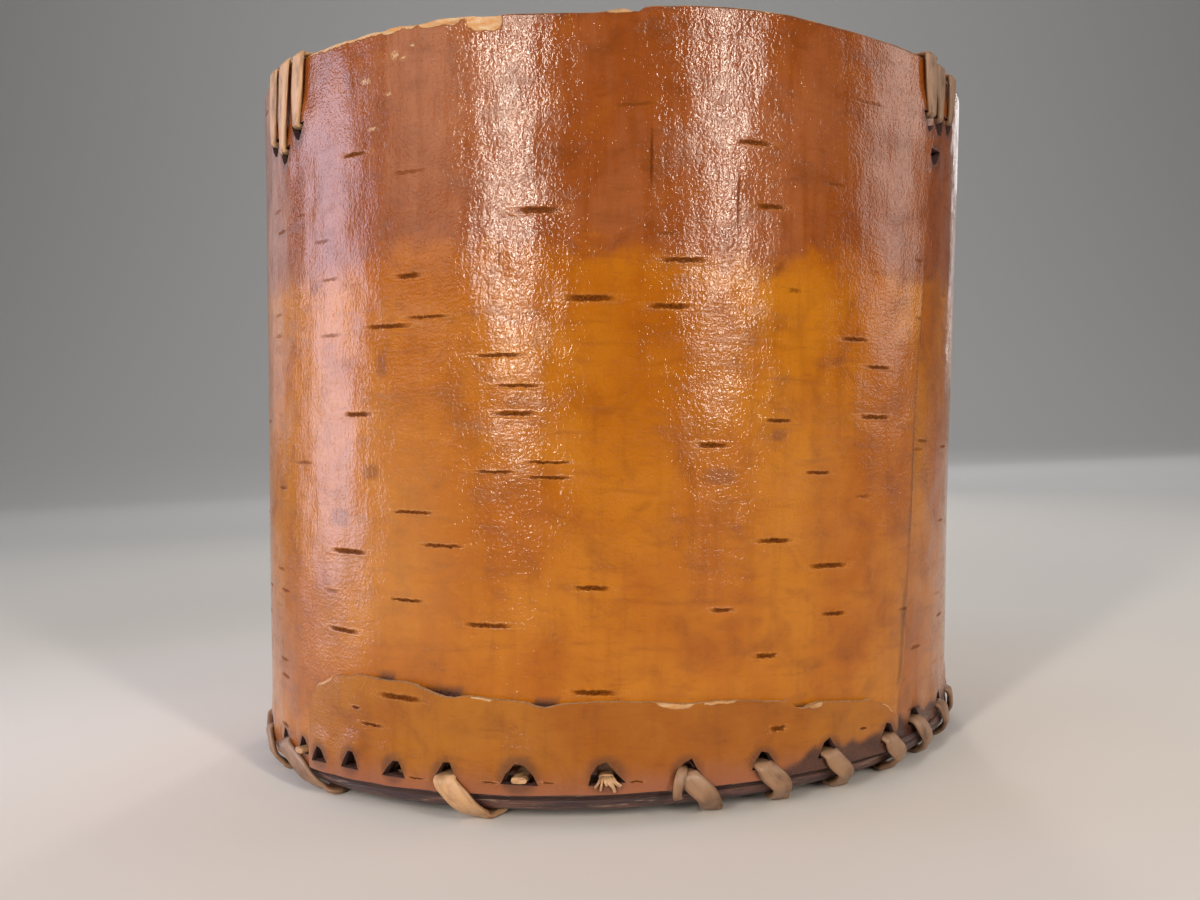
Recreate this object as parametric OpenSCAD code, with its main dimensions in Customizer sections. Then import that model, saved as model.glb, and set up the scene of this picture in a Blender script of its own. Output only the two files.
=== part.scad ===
// Round birch bark basket: a rolled outer bark sheet with a lapped seam, a bark lining,
// a bark base on a withy hoop, split root lacing round the foot and root ties at the rim.
// The front is toward -Y. Azimuths are degrees from the front toward the right, +X.

/* [Walls] */
// Outside diameter of the outer bark at the rim
rim_d = 180; // [160:1:200]
// Taper of the walls: how much less that diameter is at the foot
taper = 5; // [0:0.5:20]
// Height of the walls along their axis, from the hoop to the rim
wall_h = 152.5; // [120:0.5:200]
// Thickness of the outer bark
outer_t = 1.6; // [1:0.1:2.4]
// Thickness of the bark lining
lining_t = 1.4; // [1:0.1:2.4]
// Gap between two layers of bark
layer_gap = 0.2; // [0.1:0.05:0.4]
// Lean of the walls to the right, in degrees
body_lean = 3; // [0:0.5:5]

/* [Seams] */
// Azimuth of the free edge of the outer bark at the rim
seam_az = 52; // [46:0.5:58]
// Slant of that edge, in degrees from the axis of the walls
seam_slant = 4.5; // [1:0.5:6]
// Width of bark under the lap at the rim
lap_w = 30; // [22:1:40]
// Azimuth of the butt joint in the lining
joint_az = -52.5; // [-58:0.5:-48]
// Width of that joint
joint_w = 0.6; // [0.3:0.1:1]

/* [Foot] */
// Width of the withy hoop
hoop_w = 7.2; // [6.4:0.2:9]
// Depth of the hoop below its flat top
hoop_h = 4.6; // [4:0.2:5.4]
// Thickness of the bark base
base_t = 2; // [1.4:0.1:3]
// Gap round the base inside the lining
base_gap = 0.4; // [0.2:0.1:0.8]
// Thickness of the bark band round the front of the foot
band_t = 1.2; // [0.8:0.1:2]
// Height of the band above the hoop at the front
band_h = 17.5; // [14:0.5:40]
// Fall of the top of the band to the right, in degrees
band_slope = 2.6; // [0:0.2:4]
// Azimuth of the left end of the band
band_left_az = -47; // [-52:1:-40]
// Azimuth of the right end of the band
band_right_az = 43; // [34:1:48]
// Radius of the upper corners of the band
band_corner = 8; // [3:0.5:11]
// Room on each side of a strap at the wide end of its awl hole
awl_room = 1; // [0.9:0.1:1.6]
// Length of an awl hole past the strap in it
awl_rise = 4.3; // [3.6:0.1:6]

/* [Lacing] */
// Width of a split root strap
strap_w = 4.4; // [3:0.1:4.8]
// Thickness of a strap
strap_t = 1.3; // [0.9:0.1:1.6]
// Gap between a strap and what it holds
strap_gap = 0.3; // [0.2:0.05:0.4]
// Azimuth that a strap gains on its way down the outside, in degrees
strap_slant = 4; // [2:0.5:5]
// Length of the flat under a strap where the basket stands on it
strap_flat = 2.4; // [1:0.2:3]
// Length of a strap's tail on the base
tail_l = 7; // [4:0.5:10]

/* [Rim] */
// Width of a rim tie
tie_w = 3.2; // [2.4:0.1:3.6]
// Thickness of a rim tie
tie_t = 1.1; // [0.8:0.1:1.4]
// Length of a tie's awl hole past the tie in it
tie_rise = 3.3; // [2.8:0.1:5]
// Length of a tie's end below its hole, inside
tie_end_l = 3; // [1:0.5:6]
// Depth below the rim of the first hole of the left ties
left_tie_depth = 14.5; // [12:0.5:20]
// Depth below the rim of the first hole of the right ties
right_tie_depth = 12; // [10:0.5:16]
// Unit by which the other holes lie higher or lower
tie_stagger = 1; // [0.8:0.1:1.4]
// Width of a chip in the rim
chip_w = 7; // [4:0.5:10]
// Depth of a chip in the rim
chip_depth = 2; // [1:0.1:3]

/* [Hidden] */
$fn = 96;

// Azimuths of the stitches, spaced by hand round the front and evenly round the back
front_stations = [-50, -44, -37, -29, -21, -11, 0, 10, 20, 30, 41, 52];
back_count = 23;
closing_az = 7;
front_end = front_stations[len(front_stations) - 1];
last_station = front_stations[0] + 360 - closing_az;
back_step = (last_station - front_end) / back_count;
stations = concat(front_stations, [for (i = [1:back_count]) front_end + i * back_step]);
// Of the front stitches, those that lost their root, one that hangs alone, and the first laced one
stump_indexes = [0, 5, 6];
loose_index = 4;
first_laced = 7;
run_count = 4;
run_stitches = (len(stations) - first_laced) / run_count;

// Rim ties as azimuth, depth of the hole below the rim and lean of the strap in degrees
left_ties = [
    [joint_az + 2.5, left_tie_depth, 0.5],
    [joint_az - 2.5, left_tie_depth + 4 * tie_stagger, -0.5],
    [joint_az - 7, left_tie_depth + tie_stagger, 0.2]
];
right_ties = [
    [seam_az - 2.5, right_tie_depth, -0.4],
    [seam_az + 3, right_tie_depth - tie_stagger, -0.4],
    [seam_az + 7.5, right_tie_depth - 2 * tie_stagger, 0.6]
];
empty_tie_hole = [seam_az + 2, right_tie_depth + 6.5 * tie_stagger];

// Chips in the rim of the outer bark as azimuth and shares of a chip's width and depth
rim_chips = [[-25, 9 / 7, 0.6], [-15, 1, 1], [3, 0.5, 0.5]];

foot_d = rim_d - taper;
rim_r = rim_d / 2;
foot_r = foot_d / 2;
far = rim_d + foot_d + wall_h;
// The over half of the sheet swings on a centre moved toward the seam by half a lap
lap_step = (outer_t + layer_gap) / 2;
lap_angle = lap_w / rim_r * 180 / PI;
edge_angle = atan(wall_h * tan(seam_slant) / foot_r);
hoop_bottom = strap_t + strap_gap;
foot_z = hoop_bottom + hoop_h;
foot_x = -wall_h / 2 * sin(body_lean);
// Depth by which the leaning walls are drawn past the foot before they are trimmed level
foot_extra = foot_r * tan(body_lean) + hoop_h;
hoop_r = foot_r + lap_step / 2 - hoop_w / 2;
hoop_mid_z = hoop_bottom + hoop_w / 2;
strap_off = strap_gap + strap_t / 2;
hoop_off = hoop_w / 2 + strap_off;
awl_w = strap_w + 2 * awl_room;
awl_h = strap_t + awl_rise;
awl_z = foot_z + base_t;
lace_z = awl_z + strap_off;
base_r = foot_r - outer_t - layer_gap - lining_t - base_gap;
// Share of the way to the next stitch at which a strap comes up through the base
up_share = 0.6;
// Rings of a strap's six corners as shares of its half width and half thickness
strap_section = [[1, 0], [0.6, 1], [-0.6, 1], [-1, 0], [-0.6, -1], [0.6, -1]];

function wrap(a) = a > 180 ? a - 360 : a <= -180 ? a + 360 : a;
function polar(r, az, z) = [r * sin(az), -r * cos(az), z];
function facing(az, tilt) = [cos(tilt) * sin(az), -cos(tilt) * cos(az), sin(tilt)];
function unit(v) = v / norm(v);

// Radius of the outer face of the walls' concentric half at a height above the hoop
function wall_r(z) = foot_r + (rim_r - foot_r) * z / wall_h;
function lining_in_r(z) = wall_r(z) - outer_t - layer_gap - lining_t;
// Radius from the axis of a circle whose centre is moved toward the seam
function swung_r(r, az) =
    lap_step * cos(az - seam_az) + sqrt(pow(r + lap_step, 2) - pow(lap_step * sin(az - seam_az), 2));
// Radius of the outermost bark at an azimuth and height; edge is where the free edge lies
function bark_r(az, z, edge) = wrap(az - seam_az) < -edge ? swung_r(wall_r(z), az) : wall_r(z);
function on_band(az) = wrap(az) > band_left_az - strap_slant && wrap(az) < band_right_az + strap_slant;
// Way that the leaning walls move out on the right by the height of the holes
function lean_out(az) = (lace_z - foot_z) * tan(body_lean) * max(0, sin(az));
function foot_out_r(az) =
    lean_out(az) + (on_band(az)
        ? swung_r(wall_r(base_t), az) + layer_gap + band_t
        : bark_r(az, base_t, edge_angle));
function hoop_c(az) = hoop_r + lap_step / 2 * cos(az - seam_az);

// Ring of a strap that follows the hoop's round at an angle in its section, eased out by a bit
function round_hoop(c, angle, az, ease) =
    [c + hoop_off * cos(angle) + ease, hoop_mid_z + hoop_off * sin(angle), az, angle];

// One stitch as rings of radius, height, azimuth and tilt of the strap's outer face
function stitch(az, step) =
    let (
        face = foot_out_r(az),
        c = hoop_c(az),
        o = max(face, c + hoop_w / 2) + strap_off,
        low = az + strap_slant,
        up = az + up_share * step
    ) [
        [lining_in_r(0) - strap_w / 2, lace_z, az, 90],
        [(lining_in_r(0) + foot_r) / 2, lace_z, az, 90],
        [face - strap_gap, lace_z, az, 80],
        [face + strap_off * 0.8, lace_z - strap_t * 0.2, az + strap_slant * 0.03, 45],
        [o, lace_z - strap_t * 1.2, az + strap_slant * 0.15, 5],
        [o, foot_z - strap_w / 4, az + strap_slant * 0.55, 0],
        round_hoop(c, -30, az + strap_slant * 0.75, (o - c - hoop_off) / 2),
        round_hoop(c, -60, az + strap_slant * 0.9, 0),
        [c + strap_flat / 2, strap_t / 2, low, -90],
        [c - strap_flat / 2, strap_t / 2, low + (up - low) * 0.2, -90],
        round_hoop(c, -130, low + (up - low) * 0.6, 0),
        round_hoop(c, -155, low + (up - low) * 0.8, 0),
        [c - hoop_off, hoop_mid_z, up, 180],
        [c - hoop_off, awl_z - strap_gap, up, 180]
    ];
// The strap comes up through the base and turns over it toward the next hole
function turn_out(az, step) =
    let (r = hoop_c(az) - hoop_off, up = az + up_share * step) [
        [r + strap_t * 0.35, lace_z - strap_t * 0.25, up, 135],
        [r + strap_t * 1.5, lace_z, up + step * 0.06, 90]
    ];
// The strap comes up through the base and lies down toward the middle
function tail_in(az, step) =
    let (r = hoop_c(az) - hoop_off, up = az + up_share * step) [
        [r - strap_t * 0.35, lace_z - strap_t * 0.25, up, 45],
        [r - strap_t * 1.5, lace_z, up, 90],
        [r - tail_l, lace_z, up, 90]
    ];
function step_after(i) =
    i < len(stations) - 1 ? stations[i + 1] - stations[i] : stations[0] + 360 - stations[i];
// Lacing from the first stitch of that many, from tail to tail
function lacing(first, count) =
    let (last = first + count - 1)
    concat(
        [[lining_in_r(0) - tail_l, lace_z, stations[first], 90]],
        [
            for (i = [first:last], ring = concat(
                stitch(stations[i], step_after(i)),
                i < last ? turn_out(stations[i], step_after(i)) : []
            )) ring
        ],
        tail_in(stations[last], step_after(last))
    );
// Least gap of a strap to itself, between rings that are not close neighbours
function least_gap(rings, w, apart) =
    let (mid = [for (g = rings) polar(g[0], g[2], g[1])], last = len(rings) - 1)
    min([for (i = [0:last - apart], j = [i + apart:last]) norm(mid[i] - mid[j])]) - w;

module strap(rings, w, t) {
    mid = [for (g = rings) polar(g[0], g[2], g[1])];
    out = [for (g = rings) facing(g[2], g[3])];
    last = len(rings) - 1;
    along = [for (i = [0:last]) unit(mid[min(i + 1, last)] - mid[max(i - 1, 0)])];
    side = [for (i = [0:last]) unit(cross(along[i], out[i]))];
    sides = len(strap_section);
    points = [
        for (i = [0:last], s = strap_section)
            mid[i] + side[i] * s[0] * w / 2 + out[i] * s[1] * t / 2
    ];
    faces = concat(
        [for (i = [0:last - 1], j = [0:sides - 1])
            [i * sides + j, i * sides + (j + 1) % sides, (i + 1) * sides + j]],
        [for (i = [0:last - 1], j = [0:sides - 1])
            [i * sides + (j + 1) % sides, (i + 1) * sides + (j + 1) % sides, (i + 1) * sides + j]],
        [for (j = [1:sides - 2]) [0, j + 1, j]],
        [for (j = [1:sides - 2]) [last * sides, last * sides + j, last * sides + j + 1]]
    );
    polyhedron(points, faces, convexity = 10);
}

module placed() {
    translate([foot_x, 0, 0]) children();
}

module leaning() {
    translate([0, 0, foot_z]) rotate([0, body_lean, 0]) children();
}

module above_hoop() {
    translate([-far / 2, -far / 2, foot_z]) cube(far);
}

// Ring of the walls' taper between an outer face moved in by inset and a thickness
module ring(inset, t, swing) {
    r_low = wall_r(-foot_extra) - inset;
    r_top = wall_r(wall_h) - inset;
    translate(polar(swing, seam_az, -foot_extra)) difference() {
        cylinder(h = wall_h + foot_extra, r1 = r_low + swing, r2 = r_top + swing);
        translate([0, 0, -1])
            cylinder(h = 1, r = r_low + swing - t);
        cylinder(h = wall_h + foot_extra, r1 = r_low + swing - t, r2 = r_top + swing - t);
        translate([0, 0, wall_h + foot_extra])
            cylinder(h = 1, r = r_top + swing - t);
    }
}

// Sector of space from one azimuth to another
module sector(from, to) {
    steps = 8;
    translate([0, 0, -far / 2]) linear_extrude(far) polygon(concat(
        [[0, 0]],
        [for (i = [0:steps]) let (a = from + (to - from) * i / steps) far * [sin(a), -cos(a)]]
    ));
}

// Triangular prism along +Z, its wide end on the X axis
module awl_prism(w, h, depth) {
    linear_extrude(depth) polygon([[-w / 2, 0], [w / 2, 0], [0, h]]);
}

// Hole through the walls from the outside, with the wide end below or above
module awl_hole(az, z, w, h, turn) {
    depth = foot_r / 2;
    rotate([0, 0, az]) translate([0, depth - rim_r * 1.2, z]) rotate([90, turn, 0])
        translate([0, 0, -depth / 2]) awl_prism(w, h, depth * 1.5);
}

module lacing_holes() {
    for (az = stations) awl_hole(az, awl_z, awl_w, awl_h, 0);
}

module tie_holes() {
    for (tie = concat(left_ties, right_ties, [empty_tie_hole]))
        awl_hole(tie[0], wall_h - tie[1] + tie_t / 2 + strap_gap,
            tie_w + 2 * awl_room, tie_t + tie_rise, 180);
}

module chip_bites() {
    for (chip = rim_chips) {
        half_w = chip[1] * chip_w / 2;
        depth = chip[2] * chip_depth;
        r = (half_w * half_w + depth * depth) / (2 * depth);
        rotate([0, 0, chip[0]]) translate([0, 0, wall_h - depth + r]) rotate([90, 0, 0])
            cylinder(h = far, r = r);
    }
}

module outer_wall() {
    color("peru") placed() difference() {
        intersection() {
            leaning() union() {
                intersection() {
                    ring(0, outer_t, 0);
                    sector(seam_az - lap_angle, seam_az + 180);
                }
                difference() {
                    intersection() {
                        ring(0, outer_t, lap_step);
                        sector(seam_az - 180, seam_az);
                    }
                    rotate([0, 0, seam_az]) translate([0, 0, wall_h]) rotate([0, seam_slant, 0])
                        translate([0, -far, -far]) cube([far, far, 2 * far]);
                }
            }
            above_hoop();
        }
        lacing_holes();
        leaning() {
            tie_holes();
            chip_bites();
        }
    }
}

module inner_lining() {
    color("burlywood") placed() difference() {
        intersection() {
            leaning() ring(outer_t + layer_gap, lining_t, 0);
            above_hoop();
        }
        lacing_holes();
        leaning() {
            tie_holes();
            rotate([0, 0, joint_az]) translate([-joint_w / 2, -far, -far / 2])
                cube([joint_w, far, far]);
        }
    }
}

module base_disc() {
    color("sienna") placed() difference() {
        translate([0, 0, foot_z]) cylinder(h = base_t, r = base_r);
        for (i = [0:len(stations) - 1]) base_hole(stations[i], step_after(i));
    }
}

module base_hole(az, step) {
    rotate([0, 0, az + up_share * step])
        translate([0, -hoop_c(az) + hoop_off - strap_off, foot_z - base_t])
            awl_prism(awl_w, awl_h, base_t * 3);
}

// Points of a quarter round corner, from one direction to the next
function corner(at, r, from) = [for (i = [0:6]) at + r * [cos(from + 15 * i), sin(from + 15 * i)]];

module band_outline() {
    r = wall_r(0);
    left = r * sin(band_left_az);
    right = r * sin(band_right_az);
    left_top = band_h - (left + band_corner) * tan(band_slope);
    right_top = band_h - (right - band_corner) * tan(band_slope);
    polygon(concat(
        [[left, -foot_extra], [right, -foot_extra]],
        corner([right - band_corner, right_top - band_corner], band_corner, 0),
        corner([left + band_corner, left_top - band_corner], band_corner, 90)
    ));
}

module foot_band() {
    color("sandybrown") placed() difference() {
        intersection() {
            leaning() intersection() {
                ring(-layer_gap - band_t, band_t, lap_step);
                rotate([90, 0, 0]) linear_extrude(far) band_outline();
            }
            above_hoop();
        }
        lacing_holes();
    }
}

module foot_hoop() {
    color("saddlebrown") placed() translate(polar(lap_step / 2, seam_az, hoop_mid_z))
        rotate_extrude() translate([hoop_r, 0]) difference() {
            circle(hoop_w / 2);
            translate([-hoop_w, hoop_h - hoop_w / 2]) square(2 * hoop_w);
        }
}

module lacing_run(index) {
    rings = lacing(first_laced + index * run_stitches, run_stitches);
    echo(str("lacing run ", index + 1, ": least gap to itself ", least_gap(rings, strap_w, 6), " mm"));
    color("tan") placed() strap(rings, strap_w, strap_t);
}

module loose_stitch() {
    color("wheat") placed() strap(lacing(loose_index, 1), strap_w, strap_t);
}

module root_stump(index) {
    az = stations[stump_indexes[index]];
    color("wheat") placed() strap([
        [lining_in_r(0) - tail_l / 2, lace_z, az, 90],
        [(lining_in_r(0) + foot_r) / 2, lace_z, az, 90],
        [foot_out_r(az) + strap_gap, lace_z, az, 90]
    ], strap_w, strap_t);
}

// One tie as rings: out through its hole, up, over the rim and down inside
function tie_rings(tie) =
    let (
        az = tie[0],
        low = wall_h - tie[1],
        half = (low + wall_h) / 2,
        off = strap_gap + tie_t / 2,
        top = wall_h + off,
        end_az = az + tie[2],
        hole_out = bark_r(az, low, 0),
        rim_out = bark_r(az, wall_h, 0),
        hole_in = lining_in_r(low),
        rim_in = lining_in_r(wall_h)
    ) [
        [hole_in + strap_gap, low, az, -90],
        [hole_out - strap_gap, low, az, -80],
        [hole_out + off * 0.8, low + tie_t * 0.2, az, -45],
        [hole_out + off, low + tie_t * 1.2, az, -5],
        [rim_out + off, half, (az + end_az) / 2, 0],
        [rim_out + off, wall_h - tie_t * 0.3, end_az, 5],
        [rim_out + off * 0.3, top, end_az, 55],
        [rim_in - off * 0.3, top, end_az, 125],
        [rim_in - off, wall_h - tie_t * 0.3, end_az, 175],
        [hole_in - off, half, (az + end_az) / 2, 180],
        [hole_in - off, low - tie_end_l, az, 180]
    ];

module rim_tie(tie) {
    color("tan") placed() leaning() strap(tie_rings(tie), tie_w, tie_t);
}

outer_wall();
inner_lining();
base_disc();
foot_band();
foot_hoop();
lacing_run(0);  // lacing_run_1
lacing_run(1);  // lacing_run_2
lacing_run(2);  // lacing_run_3
lacing_run(3);  // lacing_run_4
loose_stitch();
root_stump(0);  // root_stump_1
root_stump(1);  // root_stump_2
root_stump(2);  // root_stump_3
rim_tie(left_ties[0]);  // rim_tie_left_1
rim_tie(left_ties[1]);  // rim_tie_left_2
rim_tie(left_ties[2]);  // rim_tie_left_3
rim_tie(right_ties[0]);  // rim_tie_right_1
rim_tie(right_ties[1]);  // rim_tie_right_2
rim_tie(right_ties[2]);  // rim_tie_right_3
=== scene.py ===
import math
import random
import bpy
from mathutils import Matrix, Vector, noise


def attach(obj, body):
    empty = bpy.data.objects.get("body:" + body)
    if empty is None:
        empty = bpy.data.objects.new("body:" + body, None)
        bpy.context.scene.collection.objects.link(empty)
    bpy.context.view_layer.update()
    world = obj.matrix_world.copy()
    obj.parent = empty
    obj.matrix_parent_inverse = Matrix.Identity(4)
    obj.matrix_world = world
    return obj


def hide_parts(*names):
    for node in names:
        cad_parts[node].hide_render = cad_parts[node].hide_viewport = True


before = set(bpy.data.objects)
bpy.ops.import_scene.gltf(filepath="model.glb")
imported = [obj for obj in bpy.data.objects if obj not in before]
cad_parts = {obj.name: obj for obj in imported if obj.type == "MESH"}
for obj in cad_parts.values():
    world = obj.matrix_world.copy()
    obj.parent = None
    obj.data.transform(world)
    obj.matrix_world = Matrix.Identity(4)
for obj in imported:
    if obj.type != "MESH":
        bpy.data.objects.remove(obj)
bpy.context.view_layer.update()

print("basket: frame loaded with", len(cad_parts), "nodes")

# sizes that all pieces share, in mm and degrees, the same as in the part's source
basket = {
    "rimR": 90.0, "footR": 87.5, "wallH": 152.5, "lean": 3.0,
    "outerT": 1.6, "liningT": 1.4, "layerGap": 0.2,
    "seamAz": 52.0, "seamSlant": 4.5, "lapW": 30.0,
    "hoopW": 7.2, "hoopH": 4.6, "baseT": 2.0, "baseGap": 0.4,
    "strapW": 4.4, "strapT": 1.3, "strapGap": 0.3,
}
lean = math.radians(basket["lean"])
barkAcross = math.radians(basket["rimR"])  # mm of bark to a degree
mapUnit = 100.0  # mm of bark to one unit of the map
liningOff = basket["outerT"] + basket["layerGap"]
lapStep = liningOff / 2
lapAz = math.degrees(basket["lapW"] / basket["rimR"])
edgeAz = math.degrees(math.atan(basket["wallH"] * math.tan(math.radians(basket["seamSlant"])) / basket["footR"]))
hoopBottom = basket["strapT"] + basket["strapGap"]
footZ = hoopBottom + basket["hoopH"]
footX = -basket["wallH"] / 2 * math.sin(lean)
hoopR = basket["footR"] + lapStep / 2 - basket["hoopW"] / 2
hoopMidZ = hoopBottom + basket["hoopW"] / 2
strapOff = basket["strapGap"] + basket["strapT"] / 2
hoopOff = basket["hoopW"] / 2 + strapOff
awlZ = footZ + basket["baseT"]
laceZ = awlZ + strapOff


# places

def bodyPoint(r, az, h, side=0.0):  # on the leaning walls, in metres
    a = math.radians(az)
    x, y = r * math.sin(a) + side * math.cos(a), -r * math.cos(a) + side * math.sin(a)
    return Vector((x * math.cos(lean) + h * math.sin(lean) + footX, y,
                   -x * math.sin(lean) + h * math.cos(lean) + footZ)) * 0.001


def footPoint(r, az, z, side=0.0):  # on the level foot, in metres
    a = math.radians(az)
    return Vector((r * math.sin(a) + side * math.cos(a) + footX, -r * math.cos(a) + side * math.sin(a), z)) * 0.001


def bodyPlace(point):  # azimuth and height of a point on the leaning walls
    x, z = point.x * 1000 - footX, point.z * 1000 - footZ
    return (math.degrees(math.atan2(x * math.cos(lean) - z * math.sin(lean), -point.y * 1000)),
            x * math.sin(lean) + z * math.cos(lean))


def footDir(az, tilt):
    a, t = math.radians(az), math.radians(tilt)
    return Vector((math.cos(t) * math.sin(a), -math.cos(t) * math.cos(a), math.sin(t)))


def bodyDir(az, tilt):
    return Matrix.Rotation(lean, 3, "Y") @ footDir(az, tilt)


def wrapAz(az):
    return (az + 180) % 360 - 180


def wallR(h):
    return basket["footR"] + (basket["rimR"] - basket["footR"]) * h / basket["wallH"]


def swungR(r, az):  # the over half of the outer sheet swings out toward the seam
    a = math.radians(az - basket["seamAz"])
    return lapStep * math.cos(a) + math.sqrt((r + lapStep) ** 2 - (lapStep * math.sin(a)) ** 2)


def footH(r, az):  # height on the leaning axis at which a wall meets the hoop
    return r * math.sin(math.radians(az)) * math.tan(lean)


def smooth(low, high, value):
    t = min(1.0, max(0.0, (value - low) / (high - low)))
    return t * t * (3 - 2 * t)


def crowded(share, pull):  # steps lie closer at both ends
    return share - pull * math.sin(2 * math.pi * share)


# handwork, in mm: the roll's waves and ribs, and the rim's level by azimuth with its slow and fine strays
handwork = {
    "waves": 0.5, "ribs": 0.14, "wavesFrom": 15, "wavesFull": 60,
    "rim": [(-60, 0), (-24, 0), (-17, -0.3), (-13, -0.6), (-8, -0.9), (-2, -1.1), (2, -0.3), (6, 0.3),
            (10, 0.7), (16, 0.9), (22, 1.0), (28, 0.4), (36, 0), (60, -0.3), (75, 0)],
    "rimSlow": 0.2, "rimFine": 0.12, "rimDrop": 0.1,
}


def wave(az, h):  # how the rolled bark strays from a true round
    a = math.radians(az)
    around = Vector((math.sin(a), math.cos(a), 0))
    slow = noise.noise(around * 1.2 + Vector((0, 0, h / 90)))
    ribs = noise.noise(around * 5 + Vector((3, 1, h / 130)))
    stray = handwork["waves"] * slow + handwork["ribs"] * ribs
    return stray * smooth(handwork["wavesFrom"], handwork["wavesFull"], h)


def jitter(along, row):  # between -1 and 1
    return noise.noise(Vector((along, row, 0)))


def levelAt(levels, az):  # smooth line through pairs of azimuth and level
    for (lowAz, low), (highAz, high) in zip(levels, levels[1:]):
        if lowAz <= az <= highAz:
            return low + (high - low) * smooth(lowAz, highAz, az)
    return 0.0


def rimStray(az):  # the rim isn't cut quite level
    a = math.radians(az)
    around = Vector((math.sin(a), math.cos(a), 2.3))
    stray = handwork["rimSlow"] * noise.noise(around * 2.5) + handwork["rimFine"] * noise.noise(around * 22)
    return levelAt(handwork["rim"], wrapAz(az)) + stray - handwork["rimDrop"]


# hand tools

def deselect():
    bpy.ops.object.select_all(action="DESELECT")


def pick(piece):
    deselect()
    piece.select_set(True)
    bpy.context.view_layer.objects.active = piece


def added(name):  # the object just added, under its own name
    piece = bpy.context.object
    piece.name = piece.data.name = name
    return piece


def edit(selection="SELECT"):
    bpy.ops.object.mode_set(mode="EDIT")
    bpy.ops.mesh.select_all(action=selection)


def endEdit():
    bpy.ops.object.mode_set(mode="OBJECT")


def rolled(name, columns, rows, shape):  # a flat grid, then each point is moved to where the sheet lies
    deselect()
    bpy.ops.mesh.primitive_grid_add(x_subdivisions=columns, y_subdivisions=rows, size=2)
    sheet, flat = added(name), []
    for point in sheet.data.vertices:
        place, bark = shape((point.co.x + 1) / 2, (point.co.y + 1) / 2)
        point.co = place
        flat.append([length / mapUnit for length in bark])
    barkMap = sheet.data.uv_layers.active
    for loop in sheet.data.loops:
        barkMap.data[loop.index].uv = flat[loop.vertex_index]
    return sheet


def finishWith(piece, kind, **settings):
    pick(piece)
    modifier = piece.modifiers.new(kind.lower(), kind)
    for key, value in settings.items():
        setattr(modifier, key, value)
    bpy.ops.object.modifier_apply(modifier=modifier.name)


def closeUp(piece):  # merges seams and poles, then turns the faces outwards
    pick(piece)
    edit()
    bpy.ops.mesh.remove_doubles(threshold=0.000002)
    bpy.ops.mesh.normals_make_consistent(inside=False)
    endEdit()


def block(name, points, faces):
    mesh = bpy.data.meshes.new(name)
    mesh.from_pydata(points, [], faces)
    piece = bpy.data.objects.new(name, mesh)
    bpy.context.collection.objects.link(piece)
    closeUp(piece)
    return piece


def soften(piece, angle):
    pick(piece)
    bpy.ops.object.shade_smooth_by_angle(angle=math.radians(angle))


def paint(piece, name, amount):  # a mask on the points of a piece, from their place on the walls
    layer = piece.data.attributes.new(name, "FLOAT", "POINT")
    layer.data.foreach_set("value", [amount(*bodyPlace(point.co)) for point in piece.data.vertices])


def dress(piece, slot, *finishes):
    for finish in finishes:
        piece.data.materials.append(finish)
    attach(piece, "root")


# finishes

class Wire:
    # a socket that can be used in sums, and the way to every other node
    def __init__(self, tree, socket=None):
        self.tree = tree
        self.socket = socket

    def node(self, kind, settings=None, inputs=None, output=0):
        made = self.tree.nodes.new("ShaderNode" + kind)
        for key, value in (settings or {}).items():
            setattr(made, key, value)
        for key, value in (inputs or {}).items():
            if isinstance(value, Wire):
                self.tree.links.new(value.socket, made.inputs[key])
            else:
                made.inputs[key].default_value = value
        return Wire(self.tree, made.outputs[output])

    def sum(self, operation, first, second):
        return self.node("Math", {"operation": operation}, {0: first, 1: second})

    def __add__(self, other):
        return self.sum("ADD", self, other)

    def __radd__(self, other):
        return self.sum("ADD", other, self)

    def __sub__(self, other):
        return self.sum("SUBTRACT", self, other)

    def __rsub__(self, other):
        return self.sum("SUBTRACT", other, self)

    def __mul__(self, other):
        return self.sum("MULTIPLY", self, other)

    def __rmul__(self, other):
        return self.sum("MULTIPLY", other, self)

    def least(self, other):
        return self.sum("MINIMUM", self, other)

    def most(self, other):
        return self.sum("MAXIMUM", self, other)

    def step(self, low, high):  # 0 below low, 1 above high; turned round if low is the larger
        if low > high:
            return 1 - self.step(high, low)
        return self.node("MapRange", {"interpolation_type": "SMOOTHSTEP"},
                         {"Value": self, "From Min": low, "From Max": high})

    def vector(self, operation, *others, output=0):
        return self.node("VectorMath", {"operation": operation}, dict(enumerate((self,) + others)), output)

    def length(self):
        return self.vector("LENGTH", output=1)

    def stretch(self, *shares):
        return self.vector("MULTIPLY", shares)

    def grain(self, detail=2.0, rough=0.5, warp=0.0, output=0):
        return self.node("TexNoise", None, {"Vector": self, "Scale": 1.0, "Detail": detail,
                                            "Roughness": rough, "Distortion": warp}, output)

    def mix(self, factor, first, second):  # from the first colour to the second
        return self.node("Mix", {"data_type": "RGBA"}, {0: factor, 6: first, 7: second}, 2)

    def blend(self, factor, other):  # from this colour to the other
        return self.mix(factor, self, other)

    def relief(self, height):  # heights in mm
        return self.node("Bump", None, {"Strength": 1.0, "Distance": 0.001, "Height": height})


def colour(r, g, b):
    return (r, g, b, 1.0)


def newFinish(name, roughness, specular=0.5):
    finish = bpy.data.materials.new(name)
    finish.use_nodes = True
    tree = finish.node_tree
    shader = tree.nodes["Principled BSDF"]
    shader.inputs["Roughness"].default_value = roughness
    shader.inputs["Specular IOR Level"].default_value = specular
    return finish, Wire(tree), shader


def connect(tree, shader, **wires):
    for key, wire in wires.items():
        tree.links.new(wire.socket, shader.inputs[key])


def surfaceMap(start):  # place on the sheet in mm
    return start.node("UVMap").stretch(mapUnit, mapUnit, 0.0)


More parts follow.
